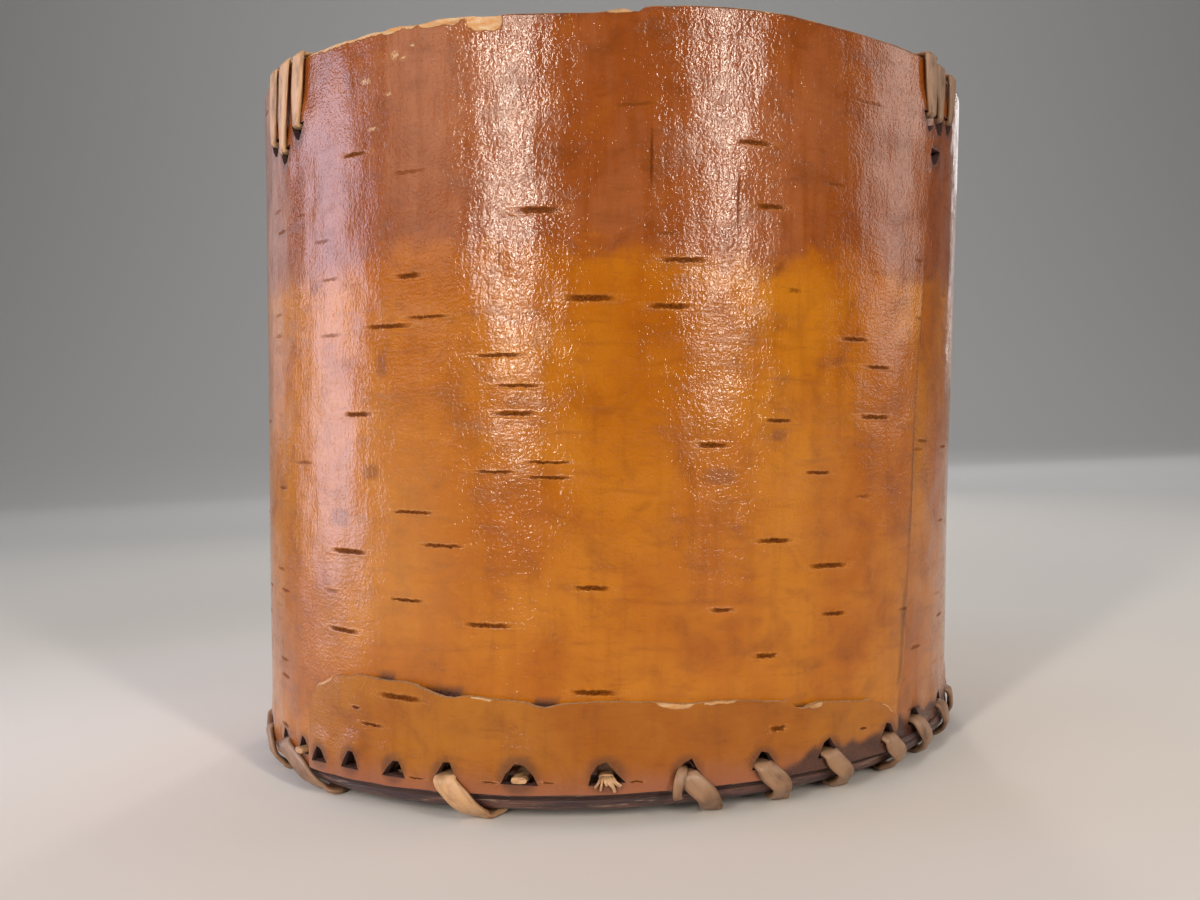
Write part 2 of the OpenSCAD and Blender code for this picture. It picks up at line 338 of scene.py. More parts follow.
def bodyMap(start):  # place in space in mm
    return start.node("TexCoord", None, None, 3).stretch(1000.0, 1000.0, 1000.0)


markFit = (1.9, 2.4)  # shares of length and thickness to a mark's edge


def lenticelField(spot, marks, turn):  # least distance to any mark, 1 at its edge
    field = None
    for az, h, length, thick in marks:
        wide, tall = markFit[0] / length, markFit[1] / thick
        near = spot.vector("MULTIPLY_ADD", (wide, tall, 0), (-wide * (az + turn) * barkAcross, -tall * h, 0))
        near = near.vector("MULTIPLY", near).length()  # squared, so the ends are blunt
        field = near if field is None else field.least(near)
    return field.node("Math", {"operation": "SQRT"}, {0: field})


# marks in the bark that show in front, as azimuth, height above the hoop, length and thickness
darkMarks = [
    (-9, 114, 8.5, 1.6), (18, 127, 7, 1.2), (20.5, 115, 6, 1.3), (9, 104, 8.5, 1.4), (7.5, 95, 8, 1.4),
    (-2.5, 96.5, 9, 1.7), (-14, 85.5, 9.5, 0.9), (-11.5, 79.5, 8.5, 0.9), (-12, 74, 8.5, 1.2),
    (-7.5, 64.5, 9, 0.7), (-7.5, 61.5, 8.5, 0.8), (-14.5, 62.5, 7.5, 0.8), (-24, 93.5, 9, 0.8), (-30.5, 92, 11, 1.2),
    (-27, 102, 6, 1.4), (-36, 74, 8, 1.3),
    (-26.5, 54, 9.5, 0.9), (-22, 47.5, 9, 0.9), (-38, 45, 11, 1.4), (-27.5, 36, 8, 0.8), (-39.5, 28, 9.5, 1.3),
    (-15.5, 32, 9.5, 1.3), (-2, 40, 6.5, 1.3), (-1.8, 19.5, 8.5, 1.4), (14.5, 35.5, 4.5, 1), (30, 43.5, 9, 1.4),
    (21.5, 49, 7.5, 1.2), (31, 33.5, 6, 1.2), (20.5, 26, 5, 1.3), (28, 62.5, 6, 1), (13, 68, 6, 1.3), (22, 73, 5.5, 1),
    (38, 74, 9, 1.1), (34, 90, 7.5, 1), (38.5, 84.5, 7.5, 0.9), (-36.5, 128.5, 7, 1),
]
faintMarks = [
    (3, 134, 8, 1), (7, 109, 4, 1), (-42, 103, 7.5, 1), (-42, 91, 8, 1), (-49.5, 63.5, 10, 1.2), (-42, 36, 5, 1.2),
    (46, 32.5, 6, 1), (24, 99, 3, 1.4), (49, 96, 5.5, 1), (55.5, 83, 8, 1), (36, 57.5, 4.5, 1), (55, 44.5, 6, 1),
    (-27, 123, 8.5, 0.9), (-44, 111.5, 6.5, 1), (-50, 118.5, 5, 1), (36, 139, 9, 1), (30, 121, 5.5, 1),
    (48, 108.5, 5, 1),
]
bruiseMarks = [(14, 62, 7, 4), (-31.5, 84, 3, 6), (-33.5, 62, 5, 4), (-40, 52, 7, 5), (22, 70, 3, 3)]
scuffMarks = [(-34, 143, 2, 1.6), (-29, 147, 1.6, 2), (-27.5, 146, 1.2, 1.2), (-30, 139.5, 1.5, 1),
              (-26, 148.5, 1.2, 1), (-33, 133, 2.4, 1)]
crackMarks = [(5, 124, 0.6, 15), (16, 116, 0.6, 13), (-14, 106, 0.5, 8)]
# broad paler and deeper places, with their colour and its share; the darker one high on the right is painted shade
tintPlaces = [(-31, 50, 36, 70, "pale", 0.30), (27, 62, 22, 40, "pale", 0.12), (4, 82, 26, 60, "deep", 0.35),
              (36, 136, 26, 50, "shade", 0.28)]
bandMarks = [(-28, 16.2, 10.5, 1.5), (-33, 9.5, 6, 0.8), (22, 11.5, 3, 1.4), (-36, 12.5, 2.5, 0.8), (36, 9, 2.5, 0.8),
             (-15, 1.2, 3, 0.45), (-7.4, 1.9, 2.2, 0.45), (3.6, 2.5, 2.6, 0.45), (-25.4, 0.2, 3.6, 0.4)]

outerLook = {
    "gold": colour(0.36, 0.098, 0.001), "amber": colour(0.46, 0.157, 0.006), "pale": colour(0.60, 0.30, 0.10),
    "deep": colour(0.29, 0.070, 0.001), "russet": colour(0.235, 0.055, 0.008), "rose": colour(0.29, 0.086, 0.028),
    "shade": colour(0.15, 0.034, 0.002), "mark": colour(0.052, 0.012, 0.001), "scar": colour(0.135, 0.034, 0.001),
    "lip": colour(0.50, 0.22, 0.05), "cream": colour(0.56, 0.37, 0.20), "stain": colour(0.27, 0.098, 0.058),
    "bruise": colour(0.19, 0.066, 0.026), "darkeningAndShade": colour(0.040, 0.018, 0.016),
    "russetFrom": 101.0, "russetTo": 109.0,  # heights between which the red begins
    "handFrom": 478.0, "handTo": 655.0,  # mm round the sheet with marks listed one by one
    "skinFrom": 490, "skinTo": 545,  # mm round the sheet where the skin frays at the rim
    "roughness": 0.07, "specular": 0.46, "corkRoughness": 0.9, "corkSpecular": 0.08,
}

# size of each grain across and up in mm, then detail, roughness and warp of its noise
barkGrain = {
    "cloud": (34, 40, 3.0, 0.55, 0.0), "blotch": (9, 8, 4.0, 0.62, 0.5), "streak": (2.6, 34, 3.0, 0.55, 0.0),
    "smear": (13, 3.2, 3.0, 0.6, 0.4), "fleck": (3.6, 0.8, 3.0, 0.6, 0.0), "wrinkle": (0.85, 1.1, 2.0, 0.55, 0.8),
    "crinkle": (0.62, 0.55, 1.0, 0.5, 0.6), "dent": (9, 11, 1.0, 0.4, 0.0), "pore": (0.5, 0.5, 2.0, 0.6, 0.0),
}
# height in mm of each grain and mark
barkRelief = {"wrinkle": 0.085, "crinkle": 0.055, "dent": 0.56, "streak": 0.08, "pore": 0.010, "lip": 0.035,
              "slit": -0.05, "dim": -0.05, "strewn": -0.06, "bare": -0.25}


def barkFinish(name, look, dark, faint, turn, worn, bruises=(), scuffs=(), cracks=(), tints=()):
    finish, start, shader = newFinish(name, look["roughness"], look["specular"])
    spot = surfaceMap(start)
    u, h = [start.node("SeparateXYZ", None, {0: spot}, axis) for axis in (0, 1)]
    z = start.node("SeparateXYZ", None, {0: bodyMap(start)}, 2)
    layers = {key: spot.stretch(1 / wide, 1 / tall, 1).grain(*kind) for key, (wide, tall, *kind) in barkGrain.items()}
    cloud, blotch, streak, smear, fleck, crinkle, pore = [
        layers[key] for key in ("cloud", "blotch", "streak", "smear", "fleck", "crinkle", "pore")]
    # marks with ragged edges
    rag = spot.stretch(1 / 1.1, 1 / 0.8, 1).grain(3.0, 0.6, output=1).vector(
        "MULTIPLY_ADD", (2.4, 0.9, 0), (-1.2, -0.45, 0))
    bent = rag.vector("ADD", spot)
    nearDark = lenticelField(bent, dark, turn)
    slit = nearDark.step(1.1, 0.65)
    core = nearDark.step(0.85, 0.25)
    lip = nearDark.step(1.9, 1.25) - nearDark.step(1.25, 0.9)
    dim = lenticelField(bent, faint, turn).step(1.2, 0.3) if faint else slit * 0.0
    # small marks strewn all over, more of them where none was listed
    strewnAt = bent.stretch(1 / 17, 1 / 7.5, 1)
    drawn, cell = [start.node("TexVoronoi", {"voronoi_dimensions": "2D"}, {"Vector": strewnAt, "Scale": 1.0}, output)
                   for output in (1, 2)]
    luck = start.node("SeparateColor", None, {0: drawn}, 0)
    apart = strewnAt.vector("SUBTRACT", cell).stretch(1 / 0.24, 1 / 0.07, 0).length()
    behind = 1 - u.step(look["handFrom"], look["handFrom"] + 12) * u.step(look["handTo"], look["handTo"] - 12)
    strewn = apart.step(1.0, 0.45) * (luck.step(0.45, 0.9) * (0.10 + 0.85 * behind))
    corky = (slit * 0.95).most(dim * 0.6).most(strewn * 0.8)
    # colour
    high = (h + cloud * 20 - 10 + blotch * 9 - 4.5).step(look["russetFrom"], look["russetTo"])
    tone = start.mix(cloud.step(0.38, 0.64), look["gold"], look["amber"])
    upper = start.mix((streak + cloud).step(0.84, 1.20), look["russet"], look["rose"])
    tone = tone.blend(high * 0.95, upper)
    tone = tone.blend(blotch.step(0.45, 0.76) * (0.46 + 0.20 * high), look["shade"])
    tone = tone.blend(blotch.step(0.47, 0.30) * (0.36 - 0.24 * high), look["amber"])
    for grain, low, top, share in ((smear, 0.50, 0.78, 0.36), (streak, 0.48, 0.78, 0.22), (fleck, 0.55, 0.72, 0.22)):
        tone = tone.blend(grain.step(low, top) * share, look["shade"])
    tone = tone.blend((z + blotch * 8).step(17.0, 9.5) * 0.75, look["stain"])
    for *place, key, share in tints:
        tone = tone.blend(lenticelField(bent, [place], turn).step(1.5, 0.2) * share, look[key])
    if bruises:
        tone = tone.blend(lenticelField(bent, bruises, turn).step(1.3, 0.5) * 0.55, look["bruise"])
    if cracks:
        wavy = rag.vector("MULTIPLY_ADD", (0.3, 0.6, 0), spot)
        split = lenticelField(wavy, cracks, turn).step(1.2, 0.5) * blotch.step(0.30, 0.55)
        tone = tone.blend(split * 0.6, look["mark"])
        corky = corky.most(split)
    if scuffs:
        rubbed = lenticelField(bent, scuffs, turn).step(1.2, 0.5) * pore.step(0.40, 0.52)
        tone = tone.blend(rubbed * 0.8, look["cream"])
    tone = tone.blend(lip * (pore.step(0.45, 0.6) * 0.35), look["lip"])
    scar = (slit * (0.45 + 0.7 * pore + 0.3 * blotch)).most(dim * 0.7).most(strewn * 0.85)
    tone = tone.blend(scar.least(0.95), look["scar"])
    tone = tone.blend(core * pore.step(0.38, 0.58) * 0.8, look["mark"])
    # torn places that show the pale layer, and a darkening mask: painted shade in the seam's lap and behind the band's
    # lifted top edge, and darker bark round holes, along the rim and along the foot at the right
    torn = start.node("Attribute", {"attribute_name": "torn"}, None, 2)
    darkeningAndShade = start.node("Attribute", {"attribute_name": "darkeningAndShade"}, None, 2)
    bare = (torn + (blotch - 0.5) * 1.5).step(0.42, 0.58) * torn.step(0.02, 0.1)
    if worn:
        skin = spot.stretch(1 / 3, 1 / 30, 1).grain(4.0, 0.65) * 2.6 - 0.75
        frayed = u.step(look["skinFrom"], look["skinFrom"] + 10) * u.step(look["skinTo"], look["skinTo"] - 7)
        skin = skin * frayed + 0.10
        bare = bare.most((skin - (basket["wallH"] - h)).step(-0.15, 0.15))
    cream = start.mix(fleck.step(0.35, 0.65), look["cream"], look["lip"])
    cream = cream.blend(smear.step(0.50, 0.66) * 0.40, look["russet"])
    tone = tone.blend(bare, cream)
    tone = tone.blend((darkeningAndShade * (0.55 + 0.9 * blotch)).least(0.95), look["darkeningAndShade"])
    dull = 0.07 * crinkle.step(0.46, 0.60) + 0.14 * smear.step(0.46, 0.62) * blotch.step(0.40, 0.60)
    rough = look["roughness"] + dull + 0.3 * bare + 0.2 * darkeningAndShade
    # relief
    height = fleck * (0.05 - 0.03 * high) - core * (0.03 + 0.05 * pore)
    layers.update(lip=lip, slit=slit, dim=dim, strewn=strewn, bare=bare)
    for key, share in barkRelief.items():
        height = height + layers[key] * share
    bump = start.relief(height)
    connect(finish.node_tree, shader, **{"Base Color": tone, "Roughness": rough, "Normal": bump})
    # the marks are cork, which takes no gloss
    cork = start.node("BsdfPrincipled", None, {"Base Color": tone, "Normal": bump, "Roughness": look["corkRoughness"],
                                               "Specular IOR Level": look["corkSpecular"]})
    surface = start.node("MixShader", None, {0: corky, 1: Wire(finish.node_tree, shader.outputs[0]), 2: cork})
    connect(finish.node_tree, finish.node_tree.nodes["Material Output"], Surface=surface)
    return finish


def edgeFinish(name, pale, dark):  # cut edge of bark, with its thin layers
    finish, start, shader = newFinish(name, 0.75, 0.3)
    body = bodyMap(start)
    layer = body.stretch(2.6, 2.6, 1.2).grain(3.0, 0.65)
    blotch = body.stretch(0.12, 0.12, 0.12).grain(3.0, 0.55)
    tone = start.mix(layer.step(0.3, 0.7), dark, pale)
    tone = tone.blend(blotch.step(0.48, 0.7) * 0.6, dark)
    connect(finish.node_tree, shader, **{"Base Color": tone, "Normal": start.relief(layer * 0.25)})
    return finish


def paleFinish(name):  # white side of the bark, where two sheets meet
    finish, start, shader = newFinish(name, 0.7, 0.3)
    spot = surfaceMap(start)
    fleck = spot.stretch(1 / 7, 1 / 0.7, 1).grain(3.0, 0.6)
    cloud = spot.stretch(1 / 20, 1 / 14, 1).grain(3.0, 0.55)
    tone = start.mix(fleck.step(0.35, 0.7), colour(0.54, 0.36, 0.20), colour(0.42, 0.23, 0.09))
    tone = tone.blend(cloud.step(0.5, 0.75) * 0.5, colour(0.33, 0.15, 0.06))
    connect(finish.node_tree, shader, **{"Base Color": tone, "Normal": start.relief(fleck * 0.15)})
    return finish


def withyFinish(name):  # dark withy with its own bark, scuffed pale
    finish, start, shader = newFinish(name, 0.40, 0.5)
    spot = surfaceMap(start)
    along = spot.stretch(1 / 14, 1 / 0.9, 1).grain(4.0, 0.6, 0.4)
    cloud = spot.stretch(1 / 26, 1 / 4, 1).grain(3.0, 0.6)
    scuff = spot.stretch(1 / 8, 1 / 1.3, 1).grain(5.0, 0.66, 0.8)
    tone = start.mix(cloud.step(0.40, 0.60), colour(0.050, 0.026, 0.030), colour(0.150, 0.066, 0.050))
    tone = tone.blend(along.step(0.52, 0.66) * 0.75, colour(0.022, 0.011, 0.014))
    tone = tone.blend(scuff.step(0.54, 0.66) * 0.80, colour(0.30, 0.20, 0.155))
    bump = start.relief(along * -0.5 + scuff * 0.4)
    connect(finish.node_tree, shader, **{"Base Color": tone, "Roughness": 0.26 + 0.3 * scuff, "Normal": bump})
    return finish


def rootFinish(name, pale, dark):  # split root, its fibres running along the strap
    finish, start, shader = newFinish(name, 0.42, 0.5)
    spot = surfaceMap(start)
    fibre = spot.stretch(1 / 18, 1 / 0.5, 1).grain(3.0, 0.6, 0.2)
    smear = spot.stretch(1 / 7, 1 / 2.5, 1).grain(4.0, 0.62)
    tone = start.mix(smear.step(0.42, 0.70), pale, dark)
    tone = tone.blend(fibre.step(0.54, 0.70) * 0.40, dark)
    tone = tone.blend(smear.step(0.62, 0.74) * 0.5, colour(0.060, 0.030, 0.020))
    bump = start.relief(fibre * -0.06 + smear * 0.10)
    connect(finish.node_tree, shader, **{"Base Color": tone, "Roughness": 0.30 + 0.25 * smear, "Normal": bump})
    return finish


outerBark = barkFinish("outerBark", outerLook, darkMarks, faintMarks, 360.0, True,
                       bruiseMarks, scuffMarks, crackMarks, tintPlaces)
bandLook = dict(outerLook, gold=colour(0.30, 0.087, 0.002), amber=colour(0.365, 0.127, 0.007),
                russetFrom=300.0, russetTo=340.0, handFrom=-300.0, handTo=300.0)
bandBark = barkFinish("bandBark", bandLook, bandMarks, [], 0.0, False)
insideLook = dict(outerLook, gold=colour(0.30, 0.100, 0.016), amber=colour(0.38, 0.145, 0.030),
                  russet=colour(0.24, 0.075, 0.016), roughness=0.40, handFrom=2000.0, handTo=2100.0)
insideBark = barkFinish("insideBark", insideLook, [(-30, 90, 9, 1), (150, 60, 8, 1)], [], 360.0, False)
barkEdge = edgeFinish("barkEdge", colour(0.58, 0.37, 0.19), colour(0.30, 0.14, 0.050))
# walls of the awl holes: cut bark painted dark as the shade inside the holes
shadedAwlEdge = edgeFinish("shadedAwlEdge", colour(0.140, 0.075, 0.066), colour(0.050, 0.026, 0.026))
paleBark = paleFinish("paleBark")
withyBark = withyFinish("withyBark")
splitRoot = rootFinish("splitRoot", colour(0.29, 0.165, 0.092), colour(0.15, 0.073, 0.040))
freshRoot = rootFinish("freshRoot", colour(0.54, 0.32, 0.165), colour(0.26, 0.128, 0.062))
print("basket: finishes made")


# awl holes: the wide end and the point, cut through every sheet

lacing = {
    "front": [-50, -44, -37, -29, -21, -11, 0, 10, 20, 30, 41, 52], "backCount": 23, "closing": 7.0,
    "firstLaced": 7, "loose": 4, "stumps": [0, 5, 6], "runs": 4,
    "slant": 4.0, "endSlant": 12.0, "flat": 2.4, "tail": 7.0, "upShare": 0.6, "looseW": 4.9, "wornStump": 6,
    "holeRoom": 0.75, "holeRise": 2.8, "cutFrom": 74.0, "cutTo": 102.0,
    "oddHoles": {-44: (1.0, 0.85), -37: (1.0, 1.15), -11: (1.3, 1.15), 0: (1.25, 1.05)},  # shares of width and rise
}
backStep = (lacing["front"][0] + 360 - lacing["closing"] - lacing["front"][-1]) / lacing["backCount"]
stations = lacing["front"] + [lacing["front"][-1] + backStep * (i + 1) for i in range(lacing["backCount"])]

rimTies = {
    "left": [(-50.0, 14.5, 1.0), (-55.0, 18.5, 1.0), (-59.5, 15.5, 0.6)],
    "right": [(49.5, 12.0, -0.8), (55.0, 11.0, -0.4), (59.5, 10.0, 0.6)],
    "emptyHole": (54.0, 18.5), "width": 5.0, "thick": 1.0, "holeRise": 3.3, "end": 3.0,
    "uneven": 0.16, "dome": 0.8, "taper": (0.45, 15.0),  # share of width at the ends, and mm to full width
}


def cutter(name, holes):  # holes as place function, azimuth, height, half width and rise
    dice = random.Random(7)
    points, faces = [], []
    for place, az, z, half, rise in holes:
        tip = dice.uniform(-0.35, 0.35) * half
        ragged = [
            (-half + dice.uniform(-0.3, 0.4), z + dice.uniform(-0.2, 0.3)),
            (half + dice.uniform(-0.4, 0.3), z + dice.uniform(-0.2, 0.3)),
            (half * dice.uniform(0.62, 0.76) + tip * 0.4, z + rise * 0.42),
            (tip + half * 0.28, z + rise * dice.uniform(0.8, 1.05)),
            (tip - half * 0.22, z + rise * dice.uniform(0.8, 1.05)),
            (-half * dice.uniform(0.62, 0.76) + tip * 0.4, z + rise * 0.45),
        ]
        first, count = len(points), len(ragged)
        for r in (lacing["cutFrom"], lacing["cutTo"]):
            points += [place(r, az, level, side) for side, level in ragged]
        faces.append([first + k for k in reversed(range(count))])
        faces.append([first + count + k for k in range(count)])
        for k in range(count):
            after = (k + 1) % count
            faces.append([first + k, first + after, first + count + after, first + count + k])
    tool = block(name, points, faces)
    for finish in (outerBark, paleBark, barkEdge, shadedAwlEdge):
        tool.data.materials.append(finish)
    for face in tool.data.polygons:
        face.material_index = 3  # the last of these finishes
    return tool


footHoles = []
for az in stations:
    wideShare, riseShare = lacing["oddHoles"].get(az, (1.0, 1.0))
    footHoles.append((footPoint, az, awlZ, (basket["strapW"] / 2 + lacing["holeRoom"]) * wideShare,
                      (basket["strapT"] + lacing["holeRise"]) * riseShare))
tieHoles = [(bodyPoint, tie[0], basket["wallH"] - tie[1] + rimTies["thick"] / 2 + basket["strapGap"],
             rimTies["width"] / 2 + lacing["holeRoom"], -(rimTies["thick"] + rimTies["holeRise"]))
            for tie in rimTies["left"] + rimTies["right"] + [rimTies["emptyHole"]]]
awl = cutter("awl", footHoles + tieHoles)


# wear and darkening round a hole, with distances as shares of its half width, and darker bark along the foot at the
# right
holeWear = {
    "nearAz": 6, "clearFrom": 20, "clearTo": 125, "middle": 0.4,  # heights without holes, and the middle of a rise
    "lift": 0.4, "liftFrom": 2.6, "liftFull": 0.9, "darkeningAndShade": 0.55, "darkFrom": 1.3, "darkFull": 0.75,
    "footDarkAz": (19, 30, 65, 100),  # where it starts, is full, fades and ends
    "footDarkH": 4.4, "footDarkEdge": 0.9, "footDark": 0.85,
}


def nearHoles(r, az, h):  # half width of each hole near a place on the walls, and how far its middle is
    if holeWear["clearFrom"] <= h <= holeWear["clearTo"]:
        return
    here = bodyPoint(r, az, h)
    for place, holeAz, z, half, rise in footHoles + tieHoles:
        if abs(wrapAz(az - holeAz)) <= holeWear["nearAz"]:
            yield half, (here - place(r, holeAz, z + rise * holeWear["middle"])).length * 1000


def pucker(r, az, h):  # bark pushed out a little round a hole
    return max((holeWear["lift"] * smooth(half * holeWear["liftFrom"], half * holeWear["liftFull"], gap)
                for half, gap in nearHoles(r, az, h)), default=0.0)


def holeDarkening(az, h):  # darker round a hole and along the foot at the right
    most = max((holeWear["darkeningAndShade"] * smooth(half * holeWear["darkFrom"], half * holeWear["darkFull"], gap)
                for half, gap in nearHoles(wallR(h), az, h)), default=0.0)
    fromAz, fullAz, fadeAz, endAz = holeWear["footDarkAz"]
    if fromAz < az < endAz:
        rise = holeWear["footDarkH"] * smooth(fromAz, fullAz, az) * (1 + 0.5 * jitter(az * 0.35, 5))
        edge = smooth(rise + holeWear["footDarkEdge"], rise - holeWear["footDarkEdge"], h - footH(basket["footR"], az))
        most = max(most, holeWear["footDark"] * edge * smooth(endAz, fadeAz, az))
    return most


# top edge of the band, torn and uneven, by azimuth

band = {
    "columns": 150, "rows": 20, "crowd": 0.035, "leftAz": -47.0, "rightAz": 43.0, "thick": 1.2, "footOut": 1.5,
    "top": [(-47, 9), (-46, 13), (-44, 16), (-40, 18.3), (-35, 19.3), (-31, 19.5), (-24, 19.2), (-19, 18), (-12, 17.5),
            (-8, 17.2), (0, 18), (6, 17.9), (9, 17.4), (15, 17.7), (23, 16.9), (25, 15.6), (28, 15.8), (37, 14.8),
            (40, 13.3), (43, 10.5)],
    "ragged": 0.22, "gapShare": 0.7,
    # places by azimuth, half width in degrees and depth in mm
    "lifts": [(-22, 4, 0.9), (-8, 2.5, 0.6), (26, 2, 0.5)],
    "gaps": [(-22, 3.6, 1.5), (-8, 1.8, 0.9), (-31, 2.6, 0.5), (25.5, 1.5, 0.8)],
    "tears": [(8.5, 3.5, 1.4), (27.5, 1.8, 1.4), (-16, 2, 0.5), (14, 3, 0.5), (40.8, 2, 0.8), (-43, 3, 0.5)],
}


def bandGap(az):  # how far the top edge dips where it stands off
    return max(depth * max(0.0, 1 - ((az - gapAz) / half) ** 2) for gapAz, half, depth in band["gaps"])


def bandTop(az):
    return levelAt(band["top"], min(max(az, band["leftAz"]), band["rightAz"]))


def cut(piece, tool):
    finishWith(piece, "BOOLEAN", operation="DIFFERENCE", object=tool, solver="EXACT")


def thicken(sheet, thick):  # gives a rolled sheet its thickness inwards, then its holes
    finishWith(sheet, "SOLIDIFY", thickness=thick * 0.001, offset=-1, use_even_offset=True,
               material_offset=1, material_offset_rim=2)
    cut(sheet, awl)


# outer wall: one sheet rolled round and lapped at the right of the front

outer = {
    "columns": 460, "rows": 76, "crowd": 0.11, "edgeSlow": 0.35, "edgeFine": 0.12,
    "chips": [(-25, 9, 0.4), (-15.5, 7, 0.5), (3, 3.5, 0.8), (-36, 5, 0.3), (-31, 4, 0.3)],  # azimuth, width and depth
    "bare": [(-19, -13.6, 2.8), (-25.5, -19, 1.3), (-32, -28, 1.0), (-1, 3, 0.6), (18, 20.5, 0.7)],  # ends and depth
    # strength of the painted shade along the seam's lap edge, and the height above which the gap behind the band gets
    # painted shade
    "bareReach": 6, "seamShade": 0.65, "bandShadeH": 8,
    "rimDark": 0.6, "rimDarkFrom": -13, "rimDarkTo": 48, "rimDarkH": 148,
}


def outerShape(across, up):
    startAz = basket["seamAz"] - lapAz
    endAz = basket["seamAz"] + 360 - edgeAz * (1 - up)
    endAz += outer["edgeSlow"] * jitter(up * 9, 0.5) + outer["edgeFine"] * jitter(up * 40, 1.5)
    az = startAz + (endAz - startAz) * across
    level = rimStray(az)
    top = basket["wallH"] + level
    for chipAz, width, depth in outer["chips"]:
        off = wrapAz(az - chipAz) * barkAcross / (width / 2)
        if abs(off) < 1:
            top -= depth * (1 - off * off) * (0.8 + 0.4 * jitter(az * 1.7, 4))
    low = footH(basket["footR"], az)
    h = low + (top - low) * crowded(up, outer["crowd"])
    over = az > basket["seamAz"] + 180
    r = (swungR(wallR(h), az) if over else wallR(h)) + wave(az, h)
    if az > basket["seamAz"]:
        r += pucker(r, az, h)
    return bodyPoint(r, az, h), (az * barkAcross, h - level * smooth(90, 150, h))


def rimBare(az, h):  # where the brown skin has come off below the rim
    below = basket["wallH"] + rimStray(az) - h
    if below > outer["bareReach"]:
        return 0.0
    return max(smooth(low - 1.5, low + 2.5, az) * smooth(high + 1.1, high - 1.1, az)
               * smooth(depth * 1.7, depth * 0.4, below) for low, high, depth in outer["bare"])


def wallDarkeningAndShade(az, h):  # darker round the holes, painted shade behind the band's lifted top edge and along the seam's lap edge, and darker along the rim
    most = holeDarkening(az, h)
    # painted shade on the wall in the gap behind the band's lifted top edge
    if h > outer["bandShadeH"] and band["leftAz"] < az < band["rightAz"]:
        most = max(most, smooth(0.15, 0.5, bandGap(az)) * smooth(bandTop(az) + 0.35, bandTop(az) - 0.15, h))
    # darker along the rim
    if h > outer["rimDarkH"] and outer["rimDarkFrom"] < az < outer["rimDarkTo"]:
        edge = smooth(0.9, 0.2, basket["wallH"] + rimStray(az) - h)
        most = max(most, outer["rimDark"] * edge * (0.5 + jitter(az * 0.6, 7)))
    # painted shade along the lap edge of the seam, on both sheets
    past = wrapAz(az - basket["seamAz"] + edgeAz * (1 - h / basket["wallH"])) * barkAcross
    return max(most, outer["seamShade"] * smooth(-0.7, -0.1, past) * smooth(1.5, 0.3, past))


outerWall = rolled("outerWall", outer["columns"], outer["rows"], outerShape)
dress(outerWall, "outer_bark", outerBark, paleBark, barkEdge, shadedAwlEdge)
thicken(outerWall, basket["outerT"])
# darkening mask: painted shade in the seam and behind the band, and darker bark round holes, along the rim and along
# the foot
paint(outerWall, "darkeningAndShade", wallDarkeningAndShade)
paint(outerWall, "torn", rimBare)
soften(outerWall, 40)
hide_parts("outer_wall")
print("basket: outer wall rolled,", len(outerWall.data.polygons), "faces")


# lining: butted behind the left rim ties

lining = {"columns": 300, "rows": 64, "crowd": 0.11, "jointAz": -52.5, "jointW": 0.6}


def liningShape(across, up):
    slack = math.degrees(lining["jointW"] / 2 / basket["rimR"])
    az = lining["jointAz"] + slack + (360 - 2 * slack) * across
    low = footH(basket["footR"] - liningOff, az)
    h = low + (basket["wallH"] + rimStray(az) - low) * crowded(up, lining["crowd"])
    return bodyPoint(wallR(h) - liningOff + wave(az, h), az, h), ((az + 360) * barkAcross, h)


innerLining = rolled("innerLining", lining["columns"], lining["rows"], liningShape)
dress(innerLining, "lining_bark", paleBark, insideBark, barkEdge, shadedAwlEdge)
thicken(innerLining, basket["liningT"])
soften(innerLining, 40)
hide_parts("inner_lining")
print("basket: lining rolled")


# band: a strip of bark round the front of the foot

def bandShape(across, up):
    az = band["leftAz"] + (band["rightAz"] - band["leftAz"]) * crowded(across, band["crowd"])
    low = footH(basket["footR"] + band["footOut"], az)
    top = bandTop(az) - bandGap(az) * band["gapShare"] + band["ragged"] * jitter(az * 0.9, 2)
    h = low + (top - low) * up
    r = swungR(wallR(h), az) + basket["layerGap"] + band["thick"] + wave(az, h)
    for liftAz, width, lift in band["lifts"]:
        r += lift * math.exp(-((az - liftAz) / width) ** 2) * smooth(0.6, 1.0, up)
    return bodyPoint(r + pucker(r, az, h), az, h), (az * barkAcross, h)


def bandTear(az, h):  # white layer where the top edge is torn
    below = bandTop(az) - h
    return max(smooth(width, width * 0.4, abs(az - tearAz)) * smooth(depth, 0.2, below)
               for tearAz, width, depth in band["tears"])


footBand = rolled("footBand", band["columns"], band["rows"], bandShape)
dress(footBand, "band_bark", bandBark, paleBark, barkEdge, shadedAwlEdge)
thicken(footBand, band["thick"])
paint(footBand, "darkeningAndShade", holeDarkening)
paint(footBand, "torn", bandTear)
soften(footBand, 40)
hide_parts("foot_band")
print("basket: band laid round the foot")


# base: a bark disc on the hoop

def footOutR(az):
    leanOut = (laceZ - footZ) * math.tan(lean) * max(0.0, math.sin(math.radians(az)))
    flat = wrapAz(az)
    if band["leftAz"] - lacing["slant"] < flat < band["rightAz"] + lacing["slant"]:
        return leanOut + swungR(wallR(basket["baseT"]), az) + basket["layerGap"] + band["thick"]
    over = wrapAz(az - basket["seamAz"]) < -edgeAz
    return leanOut + (swungR(wallR(basket["baseT"]), az) if over else wallR(basket["baseT"]))


def hoopC(az):
    return hoopR + lapStep / 2 * math.cos(math.radians(az - basket["seamAz"]))


def stepAfter(i):
    return stations[i + 1] - stations[i] if i < len(stations) - 1 else stations[0] + 360 - stations[i]


def liningInR(h):
    return wallR(h) - liningOff - basket["liningT"]


